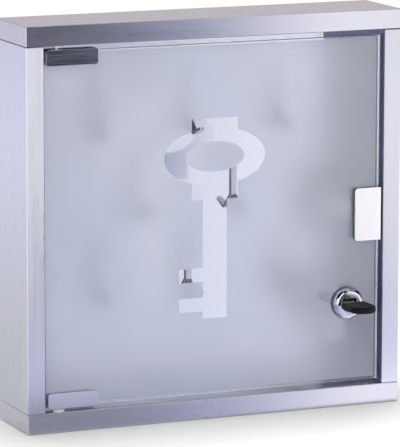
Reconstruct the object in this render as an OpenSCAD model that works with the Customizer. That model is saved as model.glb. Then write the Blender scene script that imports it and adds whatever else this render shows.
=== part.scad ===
// Wall key cabinet: a case of four folded sheet members, an inset glass door on two pivot
// clamps, a cam lock with its key, a push latch, and a back panel with hooks for keys.
// Millimetres. The origin is the middle of the case's underside, +Z is up, the front faces -Y.

/* [Case] */
// Width of the case
case_w = 300; // [280:1:340]
// Height of the case
case_h = 300; // [290:1:340]
// Depth of the case, from its front to the wall
case_d = 60; // [58:1:90]
// Height of the top and bottom rails
rail_h = 15; // [13:0.5:20]
// Width of the two side members
stile_w = 14; // [12:0.5:18]
// Thickness of the case's sheet
sheet_t = 1; // [0.8:0.1:1.4]
// Outer radius of the case's folds
fold_r = 0.8; // [0.4:0.1:1.2]

/* [Back panel and hooks] */
// Thickness of the back panel
panel_t = 1; // [0.8:0.1:1.5]
// Distance from the wall to the back panel's rear face
panel_recess = 2; // [1:0.5:4]
// Clearance round the back panel
panel_gap = 0.2; // [0.1:0.05:0.5]
// Distance between the wall screws, across
wall_hole_dx = 196; // [150:1:220]
// Distance between the wall screws, up
wall_hole_dz = 198; // [150:1:220]
// Radius of the wall screw holes
wall_hole_r = 3; // [2:0.25:4]
// Distance between neighbouring hooks in one row
hook_pitch = 74; // [60:1:84]
// Distance between the hook rows
hook_row_dz = 62; // [50:0.5:70]
// Height of the middle hook row's bends above the middle of the case
hook_rise = 8; // [-5:0.5:12]
// Width of a hook's strip
hook_w = 4.4; // [4:0.1:8]
// Thickness of a hook's strip
hook_t = 2; // [1:0.1:2.5]
// Length of a hook's shank on the panel
hook_shank = 34; // [20:1:45]
// Reach of a hook's lowest point from the panel
hook_low_out = 13.5; // [10:0.5:20]
// Drop of a hook's lowest point under its bend
hook_low_drop = 11.5; // [5:0.5:14]
// Reach of a hook's tip from the panel
hook_tip_out = 25.5; // [20:0.5:34]
// Drop of a hook's tip under its bend
hook_tip_drop = 6.1; // [0:0.1:8]

/* [Glass door] */
// Thickness of the glass
glass_t = 4; // [3:0.5:5]
// Distance from the case's front to the glass
glass_recess = 5; // [4:0.5:8]
// Gap at the hinge side of the glass
gap_left = 2; // [1.5:0.1:4]
// Gap at the lock side of the glass
gap_right = 1.6; // [1.5:0.1:4]
// Gap under the glass
gap_bottom = 3.2; // [3.2:0.1:5]
// Gap over the glass
gap_top = 4.6; // [3.2:0.1:6]
// Width of the ground bevel round the glass
glass_bevel = 0.3; // [0.1:0.1:0.8]
// Thickness of the frost film on the rear of the glass
film_t = 0.1; // [0.05:0.05:0.2]
// Width of the clear margin round the frost
film_margin = 1.5; // [0.5:0.1:4]

/* [Key shaped window] */
// Distance of the window's middle line from the middle of the case
key_x = 1.4; // [-10:0.1:10]
// Height of the ring's middle above the middle of the case
key_ring_rise = 46; // [30:0.5:50]
// Half width of the ring
ring_a = 40.6; // [30:0.1:50]
// Half height of the ring
ring_b = 21.7; // [16:0.1:26]
// Half width of the frosted island in the ring
island_a = 23.4; // [16:0.1:28]
// Half height of the frosted island in the ring
island_b = 11.4; // [8:0.1:14]
// Half width of the upright block behind the ring
collar_a = 18.6; // [14:0.1:24]
// Reach of that block above the ring's middle
collar_up = 28.6; // [24:0.1:34]
// Reach of that block under the ring's middle
collar_down = 32; // [24:0.1:38]
// Half width of the stem
stem_a = 9.7; // [6:0.1:12]
// Reach of the stem under the ring's middle
stem_down = 121.3; // [110:0.1:130]
// Reach of the two bits from the middle line
bit_reach = 28.8; // [20:0.1:34]
// Height of each bit
bit_h = 10.3; // [6:0.1:14]
// Distance from the stem's foot to the lower bit
bit_foot = 5.4; // [2:0.1:10]
// Gap between the two bits
bit_gap = 12.1; // [6:0.1:16]

/* [Pivot clamps] */
// Length of a clamp
clamp_w = 40; // [34:1:50]
// Height of a clamp over its two legs
clamp_h = 12; // [10:0.5:16]
// Thickness of a clamp's front leg and web
clamp_t = 1.2; // [1:0.1:1.5]
// Thickness of a clamp's rear leg, which holds the screws
clamp_back_t = 2.4; // [2:0.1:3]
// Radius of a clamp's free corners
clamp_r = 2.2; // [1:0.1:2.6]
// Distance from the glass's edge to a clamp's end
clamp_inset = 1.4; // [0.5:0.1:3]
// Thickness of the soft liner between clamp and glass
liner_t = 0.4; // [0.3:0.1:0.6]
// Thickness of the pressure plate
press_t = 0.8; // [0.6:0.1:1.2]
// Radius of the clamp screws
grub_r = 1.5; // [1.25:0.05:1.7]
// Distance between the two screws of a clamp
grub_dx = 20; // [14:1:26]
// Distance from the glass's edge to the pivot
pivot_inset = 10; // [8:0.5:12]
// Radius of the pivot pins
pin_r = 2; // [1.5:0.1:2.5]
// Length of a pivot pin outside its clamp
pin_l = 5; // [4.5:0.1:5.5]
// Running clearance round a pivot pin
pin_fit = 0.05; // [0.03:0.01:0.1]
// Radius of the bushes in the rails
bush_r = 3.5; // [3.2:0.1:4.5]
// Radius of a bush's flange
bush_flange_r = 5; // [4.8:0.1:6]
// Thickness of a bush's flange
bush_flange_t = 1.5; // [1:0.1:1.5]
// Length of a bush behind its flange
bush_l = 4; // [3:0.5:6]

/* [Strike plate] */
// Height of the strike plate
strike_h = 40; // [30:1:50]
// Width of the strike plate
strike_w = 22; // [18:0.5:26]
// Thickness of the strike plate
strike_t = 0.8; // [0.6:0.1:0.9]
// Radius of the strike plate's free corners
strike_r = 2.6; // [1:0.1:4]
// Height of the strike plate over the front of the glass
strike_stand = 3.3; // [1.5:0.1:3.6]
// Radius of the strike plate's front edges
strike_edge = 0.5; // [0.2:0.1:0.7]
// Thickness of the adhesive pad under the strike plate
pad_t = 0.25; // [0.15:0.05:0.35]
// Drop of the strike plate's middle under the middle of the case
strike_drop = 4.5; // [0:0.1:15]

/* [Lock and key] */
// Distance from the lock's axis to the edge of the glass
lock_inset = 24.9; // [22:0.1:27]
// Drop of the lock's axis under the middle of the case
lock_drop = 71.8; // [60:0.1:80]
// Radius of the lock's bezel
bezel_r = 12; // [11:0.1:14]
// Height of the bezel over the glass
bezel_h = 5.2; // [4.5:0.1:6]
// Radius of the lock's threaded barrel
barrel_r = 9.2; // [8.8:0.1:9.6]
// Reach of the barrel behind the front of the glass
barrel_l = 16; // [15:0.5:18]
// Clearance of the barrel in the glass
barrel_gap = 0.3; // [0.2:0.05:0.5]
// Thickness of the gasket under the bezel
gasket_t = 0.5; // [0.3:0.1:0.8]
// Thickness of the washer behind the glass
washer_t = 0.8; // [0.5:0.1:1.2]
// Distance across the flats of the lock's nut
nut_af = 23; // [22:0.5:25]
// Thickness of the lock's nut
nut_t = 4; // [3:0.5:5]
// Radius of the plug
plug_r = 6; // [5.8:0.1:6.3]
// Running clearance round the plug
plug_fit = 0.05; // [0.03:0.01:0.1]
// Size of the plug's square end
square_w = 5; // [4.5:0.1:5.2]
// Length of the cam from the axis to its tip
cam_l = 31.5; // [30:0.5:33]
// Width of the cam
cam_w = 12; // [10.5:0.5:14]
// Thickness of the cam
cam_t = 2; // [1.5:0.1:2.5]
// Clearance round the cam in its slot
cam_gap = 1.4; // [1:0.1:2]
// Width of the key's blade
blade_w = 8; // [7:0.1:8.4]
// Thickness of the key's blade
blade_t = 2; // [1.6:0.1:2.2]
// Clearance of the blade in its keyway
blade_fit = 0.15; // [0.1:0.05:0.25]
// Depth of the keyway
keyway_l = 18; // [16:0.5:19]
// Number of wafers in the plug
wafer_count = 5; // [3:1:5]
// Distance between the wafers
wafer_pitch = 3; // [2.5:0.1:3]
// Thickness of a wafer
wafer_t = 0.8; // [0.6:0.1:1]
// Width of the key's bow
bow_w = 20; // [17:0.5:24]
// Length of the key's bow
bow_l = 26; // [18:0.5:30]
// Thickness of the key's bow
bow_t = 4.8; // [3:0.1:5.5]
// Distance from the lock's face to the bow
bow_gap = 4.3; // [3:0.1:6]

/* [Push latch] */
// Width of the latch's housing
latch_w = 16; // [15:0.5:18]
// Height of the latch's housing
latch_h = 17; // [15:0.5:20]
// Clearance between the latch's housing and the back panel
latch_gap = 3; // [2:0.5:5]
// Wall at the ends of the latch's housing
latch_wall = 2; // [1.5:0.1:2.5]
// Reach of the plunger out of its housing
plunger_out = 8.5; // [7:0.5:9]
// Radius of the plunger's stem
plunger_r = 3.9; // [3.7:0.1:4]
// Radius of the plunger's collar
collar_r = 4.5; // [4.4:0.1:4.8]
// Running clearance round the plunger
plunger_fit = 0.1; // [0.05:0.01:0.1]
// Length of the plunger's collar
collar_l = 14.5; // [12:0.5:16]
// Gap between magnet and strike plate
magnet_gap = 0.3; // [0.2:0.1:0.5]
// Radius of the magnet
magnet_r = 3.2; // [2.8:0.1:3.3]
// Thickness of the magnet
magnet_t = 2; // [1.5:0.1:2.5]
// Radius of the spring's coil, to the middle of the wire
coil_r = 2.5; // [2:0.1:2.6]
// Radius of the spring's wire
wire_r = 0.35; // [0.25:0.05:0.4]
// Turns of the spring
coil_turns = 10; // [6:1:12]
// Radius of the latch's screws
screw_r = 1.4; // [1.2:0.1:1.6]

/* [Hidden] */
// Segments of a small rounded corner, and of a whole round
CORNER_STEPS = 5;
$fn = 64;
// How far a cut runs past the face it opens
CUT = 1;
// Gap of the adhesive layer between glass and film
FILM_GAP = 0.02;

front_y = -case_d / 2;
back_y = case_d / 2;
mid_z = case_h / 2;
panel_y = back_y - panel_recess - panel_t;
inner_x = case_w / 2 - stile_w;

glass_x0 = -inner_x + gap_left;
glass_x1 = inner_x - gap_right;
glass_z0 = rail_h + gap_bottom;
glass_z1 = case_h - rail_h - gap_top;
glass_y0 = front_y + glass_recess;
glass_y1 = glass_y0 + glass_t;
film_y = glass_y1 + FILM_GAP;
rear_y = film_y + film_t;

clamp_x0 = glass_x0 + clamp_inset;
pivot_x = glass_x0 + pivot_inset;
pivot_y = (glass_y0 + glass_y1) / 2;
slot_y0 = glass_y0 - liner_t;
slot_y1 = rear_y + liner_t + press_t;
web_z = -liner_t - clamp_t;
BUSH_PLAY = 0.1;
// Distance from the strike plate's outline to its pad, across and up
PAD_INSET = [3, 2];
// Radius of an edge that is only eased
EASED = 0.2;
// Share of a strip's width that rounds its end
STRIP_ROUND = 0.49;
// Distance from a clamp's end to its liner, and from the legs' edge to the liner's
LINER_INSET = [0.5, 0.6];
// Distance from a clamp's end, and from its legs' edge, to the pressure plate
PRESS_INSET = 1;
// How far the clamp screws stand out of the rear leg
GRUB_PROUD = 0.5;
// How far the washer reaches past the nut's flats, and the gasket stays inside the bezel
WASHER_REACH = 1;
GASKET_INSET = 0.3;
// Drop of the plug's face under the rim's inner edge
DISH_DROP = 0.6;
// Play round the wafers, and between the plug's square end and the cam
WAFER_PLAY = 0.1;
SQUARE_PLAY = 0.1;
// Depth of the cam screw's thread in the plug
CAM_SCREW_L = 3;
// Length of the key's tang in the bow
TANG_L = 14;
// How far the magnet stands out of the plunger
MAGNET_PROUD = 0.5;
// Thickness of the collar's floor, on which the spring stands
COLLAR_FLOOR = 4;
// Reach of the cap's plug into the bore, which the spring stands against
CAP_PLUG_L = 1;

strike_z = mid_z - strike_drop;
strike_x1 = glass_x1 + pad_t + strike_t;
strike_y0 = glass_y0 - strike_stand;
strike_back_y = rear_y + pad_t + strike_t;

lock_x = glass_x1 - lock_inset;
lock_z = mid_z - lock_drop;
// Places along the lock's axis, counted forward from the front of the glass
face_l = bezel_h - 0.3;
plug_back_l = -barrel_l - 0.3;
cam_y = glass_y0 - plug_back_l;
wafer_first_l = face_l - 3.4;
// Where the cam's lower edge crosses the side member's inner face
cam_corner_r = sqrt(pow(cam_l, 2) + pow(cam_w / 2, 2));
cam_slot_down = sqrt(pow(cam_corner_r, 2) - pow(inner_x - lock_x, 2));
bow_y1 = glass_y0 - bezel_h - bow_gap;
blade_tip_y = glass_y0 - face_l + keyway_l - 0.6;

latch_x = inner_x - latch_w / 2;
latch_z = strike_z;
tip_y = strike_back_y + magnet_gap;
plunger_y = tip_y + MAGNET_PROUD;
latch_y0 = plunger_y + plunger_out;
latch_y1 = panel_y - latch_gap;
latch_l = latch_y1 - latch_y0;
collar_y = latch_y0 + latch_wall + plunger_fit;
spring_y0 = collar_y + COLLAR_FLOOR;
EAR_T = 2;
EAR_REACH = 7;
EAR_L = 12;
ear_y = latch_y0 + latch_l / 3;

hook_spots = [
    for (row = [0:2])
        for (k = [0:(row == 1 ? 1 : 2)])
            [(k - (row == 1 ? 0.5 : 1)) * hook_pitch, mid_z + hook_rise + (1 - row) * hook_row_dz]
];

// Points of a quarter round, counter-clockwise from the given angle
function arc_points(centre, r, from, steps = CORNER_STEPS) = [
    for (i = [0:steps]) let (a = from + 90 * i / steps) centre + r * [cos(a), sin(a)]
];

// Outline of a rectangle; radii are for the corners high-high, low-high, low-low and high-low
function rounded_outline(lo, hi, radii, steps = CORNER_STEPS) = concat(
    arc_points([hi.x - radii[0], hi.y - radii[0]], radii[0], 0, steps),
    arc_points([lo.x + radii[1], hi.y - radii[1]], radii[1], 90, steps),
    arc_points([lo.x + radii[2], lo.y + radii[2]], radii[2], 180, steps),
    arc_points([hi.x - radii[3], lo.y + radii[3]], radii[3], 270, steps)
);

function ellipse_points(a, b, steps = 72) = [
    for (i = [0:steps - 1]) [a * cos(360 * i / steps), b * sin(360 * i / steps)]
];

module box(lo, hi) {
    translate(lo)
        cube(hi - lo);
}

// An outline in X and Z, carried along Y between two places
module along_y(y0, y1) {
    translate([0, y1, 0])
        rotate([90, 0, 0])
            linear_extrude(y1 - y0)
                children();
}

// An outline in Y and Z, carried along X between two places
module along_x(x0, x1) {
    translate([x0, 0, 0])
        rotate([90, 0, 90])
            linear_extrude(x1 - x0)
                children();
}

// A block with every edge rounded
module rounded_block(lo, hi, r) {
    radii = [r, r, r, r];
    intersection() {
        translate([0, 0, lo.z])
            linear_extrude(hi.z - lo.z)
                polygon(rounded_outline([lo.x, lo.y], [hi.x, hi.y], radii));
        along_y(lo.y, hi.y)
            polygon(rounded_outline([lo.x, lo.z], [hi.x, hi.z], radii));
        along_x(lo.x, hi.x)
            polygon(rounded_outline([lo.y, lo.z], [hi.y, hi.z], radii));
    }
}

// A sheet tray, open to the wall: rounded folds, and walls one sheet thick
module folded_member(lo, hi) {
    wall = [sheet_t, sheet_t, sheet_t];
    difference() {
        intersection() {
            rounded_block(lo, hi + [0, 2 * fold_r, 0], fold_r);
            box(lo, hi);
        }
        box(lo + wall, hi - wall + [0, sheet_t + CUT, 0]);
    }
}

// A rail with its inner wall cut back for the panel; side is 1 for the top and -1 for the bottom
module rail(side) {
    z0 = side > 0 ? case_h - rail_h : 0;
    inner_z = side > 0 ? z0 : rail_h;
    difference() {
        folded_member([-case_w / 2, front_y, z0], [case_w / 2, back_y, z0 + rail_h]);
        box([-case_w / 2 + sheet_t, panel_y, inner_z - sheet_t - CUT],
            [case_w / 2 - sheet_t, back_y + CUT, inner_z + sheet_t + CUT]);
        translate([pivot_x, pivot_y, inner_z - 2 * sheet_t])
            cylinder(r = bush_r, h = 4 * sheet_t);
    }
}

module top_rail() {
    color([0.62, 0.63, 0.68])
        rail(1);
}

module bottom_rail() {
    color([0.72, 0.73, 0.78])
        rail(-1);
}

// A side member stands between the rails; its end flanges lie on them
module side_member(side) {
    x0 = side > 0 ? inner_x : -case_w / 2;
    open_x0 = side > 0 ? inner_x - CUT : -case_w / 2 + sheet_t;
    open_x1 = side > 0 ? case_w / 2 - sheet_t : -inner_x + CUT;
    difference() {
        folded_member([x0, front_y, rail_h], [x0 + stile_w, back_y, case_h - rail_h]);
        box([open_x0, panel_y, rail_h - CUT], [open_x1, back_y + CUT, case_h - rail_h + CUT]);
    }
}

module left_side() {
    color([0.78, 0.79, 0.85])
        side_member(-1);
}

module right_side() {
    slot_half_y = cam_t / 2 + cam_gap;
    slot_mid_y = cam_y + cam_t / 2;
    color([0.84, 0.84, 0.88])
        difference() {
            side_member(1);
            box([inner_x - CUT, slot_mid_y - slot_half_y, lock_z - cam_slot_down - cam_gap],
                [inner_x + sheet_t + CUT, slot_mid_y + slot_half_y, lock_z + cam_w / 2 + cam_gap]);
            latch_screw_places()
                translate([0, 0, -CUT])
                    cylinder(r = screw_r, h = sheet_t + 2 * CUT);
        }
}

module back_panel() {
    edge_x = case_w / 2 - sheet_t - panel_gap;
    edge_z = sheet_t + panel_gap;
    color([0.85, 0.86, 0.9])
        difference() {
            box([-edge_x, panel_y, edge_z], [edge_x, panel_y + panel_t, case_h - edge_z]);
            for (sx = [-1, 1], sz = [-1, 1])
                translate([sx * wall_hole_dx / 2, panel_y - CUT, mid_z + sz * wall_hole_dz / 2])
                    rotate([-90, 0, 0])
                        cylinder(r = wall_hole_r, h = panel_t + 2 * CUT);
        }
}

// One straight run of a bent strip, seen from its edge, with round ends
module strip_run(from, to, t) {
    run = to - from;
    translate(from)
        rotate(atan2(run.y, run.x)) {
            translate([0, -t / 2])
                square([norm(run), t]);
            circle(d = t, $fn = 24);
        }
    translate(to)
        circle(d = t, $fn = 24);
}

// A strip bent out of its shank into a shallow V, with a round top and a round tip
module hook(place) {
    x = place.x;
    z = place.y;
    root = [panel_y - hook_t / 2, z];
    low = [panel_y - hook_low_out, z - hook_low_drop];
    tip = [panel_y - hook_tip_out, z - hook_tip_drop];
    end_r = hook_w * STRIP_ROUND;
    color([0.7, 0.71, 0.75])
        intersection() {
            along_x(x - hook_w / 2, x + hook_w / 2) {
                translate([panel_y - hook_t, z])
                    square([hook_t, hook_shank]);
                strip_run(root, low, hook_t);
                strip_run(low, tip, hook_t);
            }
            translate([0, 0, z - 2 * hook_low_drop])
                linear_extrude(hook_shank + 2 * hook_low_drop)
                    polygon(rounded_outline(
                        [x - hook_w / 2, tip.x - hook_t / 2], [x + hook_w / 2, panel_y],
                        [0, 0, end_r, end_r]));
            along_y(panel_y - 2 * hook_tip_out, panel_y)
                polygon(rounded_outline(
                    [x - hook_w / 2, z - 2 * hook_low_drop], [x + hook_w / 2, z + hook_shank],
                    [end_r, end_r, 0, 0]));
        }
}

// The glass, with its bevels and the bore for the lock
module glass_pane() {
    bevels = [glass_bevel, glass_bevel, glass_bevel, glass_bevel];
    color([0.75, 0.88, 0.88, 0.35])
        difference() {
            intersection() {
                along_y(glass_y0, glass_y1)
                    polygon(rounded_outline([glass_x0, glass_z0], [glass_x1, glass_z1], bevels, 1));
                along_x(glass_x0, glass_x1)
                    polygon(rounded_outline([glass_y0, glass_z0], [glass_y1, glass_z1], bevels, 1));
                translate([0, 0, glass_z0])
                    linear_extrude(glass_z1 - glass_z0)
                        polygon(rounded_outline([glass_x0, glass_y0], [glass_x1, glass_y1], bevels, 1));
            }
            lock_bore(glass_y0 - CUT, glass_y1 + CUT);
        }
}

module lock_bore(y0, y1) {
    translate([lock_x, y1, lock_z])
        rotate([90, 0, 0])
            cylinder(r = barrel_r + barrel_gap, h = y1 - y0);
}

// Outline of the clear window: a ring on a stem with two bits
module key_window() {
    bit_z = -stem_down + bit_foot;
    translate([key_x, mid_z + key_ring_rise])
        difference() {
            union() {
                polygon(ellipse_points(ring_a, ring_b));
                translate([-collar_a, -collar_down])
                    square([2 * collar_a, collar_up + collar_down]);
                translate([-stem_a, -stem_down])
                    square([2 * stem_a, stem_down - collar_down / 2]);
                for (k = [0, 1])
                    translate([-bit_reach, bit_z + k * (bit_h + bit_gap)])
                        square([bit_reach, bit_h]);
            }
            polygon(ellipse_points(island_a, island_b));
        }
}

module frost_film() {
    color([0.72, 0.76, 0.84])
        difference() {
            box([glass_x0 + film_margin, film_y, glass_z0 + film_margin],
                [glass_x1 - film_margin, rear_y, glass_z1 - film_margin]);
            along_y(film_y - CUT, rear_y + CUT)
                key_window();
            lock_bore(film_y - CUT, rear_y + CUT);
        }
}

// Puts a clamp's pieces, drawn with the glass's edge at height 0, at the bottom or the top
module at_edge(top) {
    if (top)
        translate([0, 0, glass_z1])
            mirror([0, 0, 1])
                children();
    else
        translate([0, 0, glass_z0])
            children();
}

// A channel that grips the glass's edge; the rear leg is threaded for the screws
module clamp() {
    y0 = slot_y0 - clamp_t;
    y1 = slot_y1 + clamp_back_t;
    bend = clamp_t * 0.8;
    free = [EASED, EASED];
    color([0.55, 0.58, 0.68])
        difference() {
            intersection() {
                along_x(clamp_x0, clamp_x0 + clamp_w)
                    polygon(rounded_outline([y0, web_z], [y1, web_z + clamp_h], concat(free, [bend, bend])));
                along_y(y0, y1)
                    polygon(rounded_outline([clamp_x0, web_z], [clamp_x0 + clamp_w, web_z + clamp_h],
                        [clamp_r, clamp_r, clamp_r, clamp_r]));
            }
            box([clamp_x0 - CUT, slot_y0, -liner_t], [clamp_x0 + clamp_w + CUT, slot_y1, clamp_h]);
            translate([pivot_x, pivot_y, web_z - CUT])
                cylinder(r = pin_r, h = clamp_t + 2 * CUT);
            grub_places()
                cylinder(r = grub_r, h = clamp_back_t + CUT);
        }
}

// The screws' places on the rear leg's inner face, looking to the rear
module grub_places() {
    for (side = [-1, 1])
        translate([clamp_x0 + clamp_w / 2 + side * grub_dx / 2, slot_y1, (web_z + clamp_h) / 2])
            rotate([-90, 0, 0])
                children();
}

module liner() {
    x0 = clamp_x0 + LINER_INSET[0];
    x1 = clamp_x0 + clamp_w - LINER_INSET[0];
    leg = web_z + clamp_h - LINER_INSET[1];
    color([0.9, 0.9, 0.88])
        difference() {
            box([x0, slot_y0, -liner_t], [x1, rear_y + liner_t, leg]);
            box([clamp_x0, glass_y0, 0], [clamp_x0 + clamp_w, rear_y, leg + CUT]);
        }
}

module pressure_plate() {
    color([0.6, 0.6, 0.63])
        box([clamp_x0 + PRESS_INSET, rear_y + liner_t, liner_t],
            [clamp_x0 + clamp_w - PRESS_INSET, slot_y1, web_z + clamp_h - PRESS_INSET]);
}

// Two headless screws with a hexagon socket, pressing on the plate
module clamp_screws() {
    socket_r = grub_r * 0.58;
    socket_floor = 1.2;
    color([0.45, 0.45, 0.48])
        grub_places()
            difference() {
                cylinder(r = grub_r, h = clamp_back_t + GRUB_PROUD);
                translate([0, 0, socket_floor])
                    cylinder(r = socket_r, h = clamp_back_t + GRUB_PROUD, $fn = 6);
            }
}

module pivot_pin() {
    end_z = web_z - pin_l;
    tip = 0.4;
    color([0.7, 0.7, 0.74])
        translate([pivot_x, pivot_y, 0])
            rotate_extrude()
                polygon([[0, -liner_t], [pin_r, -liner_t], [pin_r, end_z + tip],
                    [pin_r - tip, end_z], [0, end_z]]);
}

// A flanged bush, drawn with the rail's face at height 0 and the glass above it
module bush() {
    bore_r = pin_r + pin_fit;
    bevel = 0.3;
    color([0.92, 0.92, 0.92])
        rotate_extrude()
            polygon([[bore_r, -bush_l], [bush_r, -bush_l], [bush_r, 0], [bush_flange_r, 0],
                [bush_flange_r, bush_flange_t - bevel], [bush_flange_r - bevel, bush_flange_t],
                [bore_r, bush_flange_t]]);
}

module top_bush() {
    translate([pivot_x, pivot_y, case_h - rail_h])
        mirror([0, 0, 1])
            bush();
}

module bottom_bush() {
    translate([pivot_x, pivot_y, rail_h])
        bush();
}

// A bright clip over the glass's edge, pressed as a shallow cap in front, which the latch's
// magnet holds by its rear leg
module strike_plate() {
    x0 = strike_x1 - strike_w;
    z0 = strike_z - strike_h / 2;
    inner_r = strike_r - strike_t;
    color([0.95, 0.95, 0.97])
        difference() {
            intersection() {
                translate([0, 0, z0])
                    linear_extrude(strike_h)
                        polygon(rounded_outline([x0, strike_y0], [strike_x1, strike_back_y],
                            [strike_edge, EASED, strike_edge, strike_edge]));
                along_y(strike_y0, strike_back_y)
                    polygon(rounded_outline([x0, z0], [strike_x1, z0 + strike_h],
                        [EASED, strike_r, strike_r, EASED]));
            }
            // Room for the glass with its pad
            box([x0 - CUT, glass_y0 - pad_t, z0 - CUT],
                [strike_x1 - strike_t, strike_back_y - strike_t, z0 + strike_h + CUT]);
            // Hollow of the cap
            along_y(strike_y0 + strike_t, glass_y0)
                polygon(rounded_outline([x0 + strike_t, z0 + strike_t],
                    [strike_x1 - strike_t, z0 + strike_h - strike_t], [EASED, inner_r, inner_r, EASED]));
        }
}

// Fills the cap's hollow and lines both faces and the edge of the glass
module strike_pad() {
    z0 = strike_z - strike_h / 2 + PAD_INSET.y;
    z1 = strike_z + strike_h / 2 - PAD_INSET.y;
    color([0.8, 0.8, 0.8])
        difference() {
            box([strike_x1 - strike_w + PAD_INSET.x, strike_y0 + strike_t, z0],
                [glass_x1 + pad_t, rear_y + pad_t, z1]);
            box([strike_x1 - strike_w, glass_y0, z0 - CUT], [glass_x1, rear_y, z1 + CUT]);
        }
}

// Puts what is drawn along +Z at the lock, counted forward from the front of the glass
module on_lock() {
    translate([lock_x, glass_y0, lock_z])
        rotate([90, 0, 0])
            children();
}

// Body with a domed bezel, a groove, and a dished rim round the plug
module lock_body() {
    bore_r = plug_r + plug_fit;
    dome_w = 3.4;
    foot = 1;
    crest = bezel_h - 0.4;
    // Radii of the groove's floor and of the rim's flat, inner and outer
    groove_r = [7.5, 8];
    rim_r = [6.9, 7.2];
    groove_depth = 1;
    flare = 0.1;
    bevel = 0.2;
    dome = [
        for (i = [0:6]) let (a = 15 * i)
            [bezel_r - dome_w + dome_w * cos(a), gasket_t + foot + (crest - gasket_t - foot) * sin(a)]
    ];
    color([0.8, 0.8, 0.84])
        on_lock()
            rotate_extrude()
                polygon(concat(
                    [[bore_r, -barrel_l], [barrel_r, -barrel_l], [barrel_r, gasket_t], [bezel_r, gasket_t]],
                    dome,
                    [[groove_r[1] + flare, crest], [groove_r[1], bezel_h - groove_depth],
                        [groove_r[0], bezel_h - groove_depth], [rim_r[1] + bevel, bezel_h - bevel],
                        [rim_r[1], bezel_h], [rim_r[0], bezel_h], [bore_r, face_l - DISH_DROP]]));
}

module ring(r0, r1, h) {
    difference() {
        cylinder(r = r1, h = h);
        translate([0, 0, -CUT])
            cylinder(r = r0, h = h + 2 * CUT);
    }
}

module lock_gasket() {
    color([0.1, 0.1, 0.1])
        on_lock()
            ring(barrel_r, bezel_r - GASKET_INSET, gasket_t);
}

module lock_washer() {
    color([0.15, 0.15, 0.15])
        translate([0, rear_y - glass_y0 + washer_t, 0])
            on_lock()
                ring(barrel_r, nut_af / 2 + WASHER_REACH, washer_t);
}

module lock_nut() {
    color([0.7, 0.7, 0.74])
        translate([0, rear_y - glass_y0 + washer_t + nut_t, 0])
            on_lock()
                difference() {
                    cylinder(r = nut_af / 2 / cos(30), h = nut_t, $fn = 6);
                    translate([0, 0, -CUT])
                        cylinder(r = barrel_r, h = nut_t + 2 * CUT);
                }
}

// The keyway's outline, across the blade's width and its thickness
module keyway(fit) {
    square([blade_w + 2 * fit, blade_t + 2 * fit], center = true);
}

// Turning plug: keyway, wafer slots, and a square end with a screw hole for the cam
module lock_plug() {
    color([0.75, 0.75, 0.78])
        on_lock()
            difference() {
                union() {
                    translate([0, 0, plug_back_l])
                        cylinder(r = plug_r, h = face_l - plug_back_l - DISH_DROP);
                    translate([0, 0, plug_back_l - cam_t + SQUARE_PLAY])
                        linear_extrude(cam_t)
                            square(square_w, center = true);
                }
                translate([0, 0, face_l - keyway_l])
                    linear_extrude(keyway_l + CUT)
                        keyway(blade_fit);
                for (k = [0:wafer_count - 1])
                    translate([0, 0, wafer_first_l - k * wafer_pitch - WAFER_PLAY])
                        linear_extrude(wafer_t + 2 * WAFER_PLAY)
                            square([2 * plug_r + CUT, wafer_w() + 2 * WAFER_PLAY], center = true);
                translate([0, 0, plug_back_l - cam_t - CUT])
                    cylinder(r = screw_r, h = CAM_SCREW_L + cam_t + CUT, $fn = 32);
            }
}

// Size of a wafer across the keyway and along it: both stay within the plug
function wafer_w() = 0.83 * plug_r;
function wafer_l() = 1.77 * plug_r;

module lock_wafers() {
    color([0.8, 0.68, 0.35])
        on_lock()
            for (k = [0:wafer_count - 1])
                translate([0, 0, wafer_first_l - k * wafer_pitch])
                    linear_extrude(wafer_t)
                        difference() {
                            square([wafer_l(), wafer_w()], center = true);
                            keyway(blade_fit);
                        }
}

// The cam hangs down when unlocked and turns into the side member when locked
module cam() {
    end_r = cam_w * STRIP_ROUND;
    root_r = 2;
    color([0.72, 0.73, 0.75])
        along_y(cam_y, cam_y + cam_t)
            translate([lock_x, lock_z])
                difference() {
                    polygon(rounded_outline([-cam_w / 2, -cam_l], [cam_w / 2, cam_w / 2],
                        [end_r, end_r, root_r, root_r], 8));
                    square(square_w + SQUARE_PLAY, center = true);
                }
}

module cam_screw() {
    head_r = square_w * 0.84;
    crown_r = square_w * 0.6;
    rim_t = 1.2;
    head_t = 2;
    cross = [4, 0.8];
    color([0.6, 0.6, 0.62])
        on_lock()
            difference() {
                translate([0, 0, plug_back_l - cam_t])
                    rotate_extrude()
                        polygon([[0, CAM_SCREW_L], [screw_r, CAM_SCREW_L], [screw_r, 0], [head_r, 0],
                            [head_r, -rim_t], [crown_r, -head_t], [0, -head_t]]);
                translate([0, 0, plug_back_l - cam_t - head_t - CUT])
                    linear_extrude(CUT + rim_t)
                        for (a = [0, 90])
                            rotate(a)
                                square(cross, center = true);
            }
}

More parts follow.
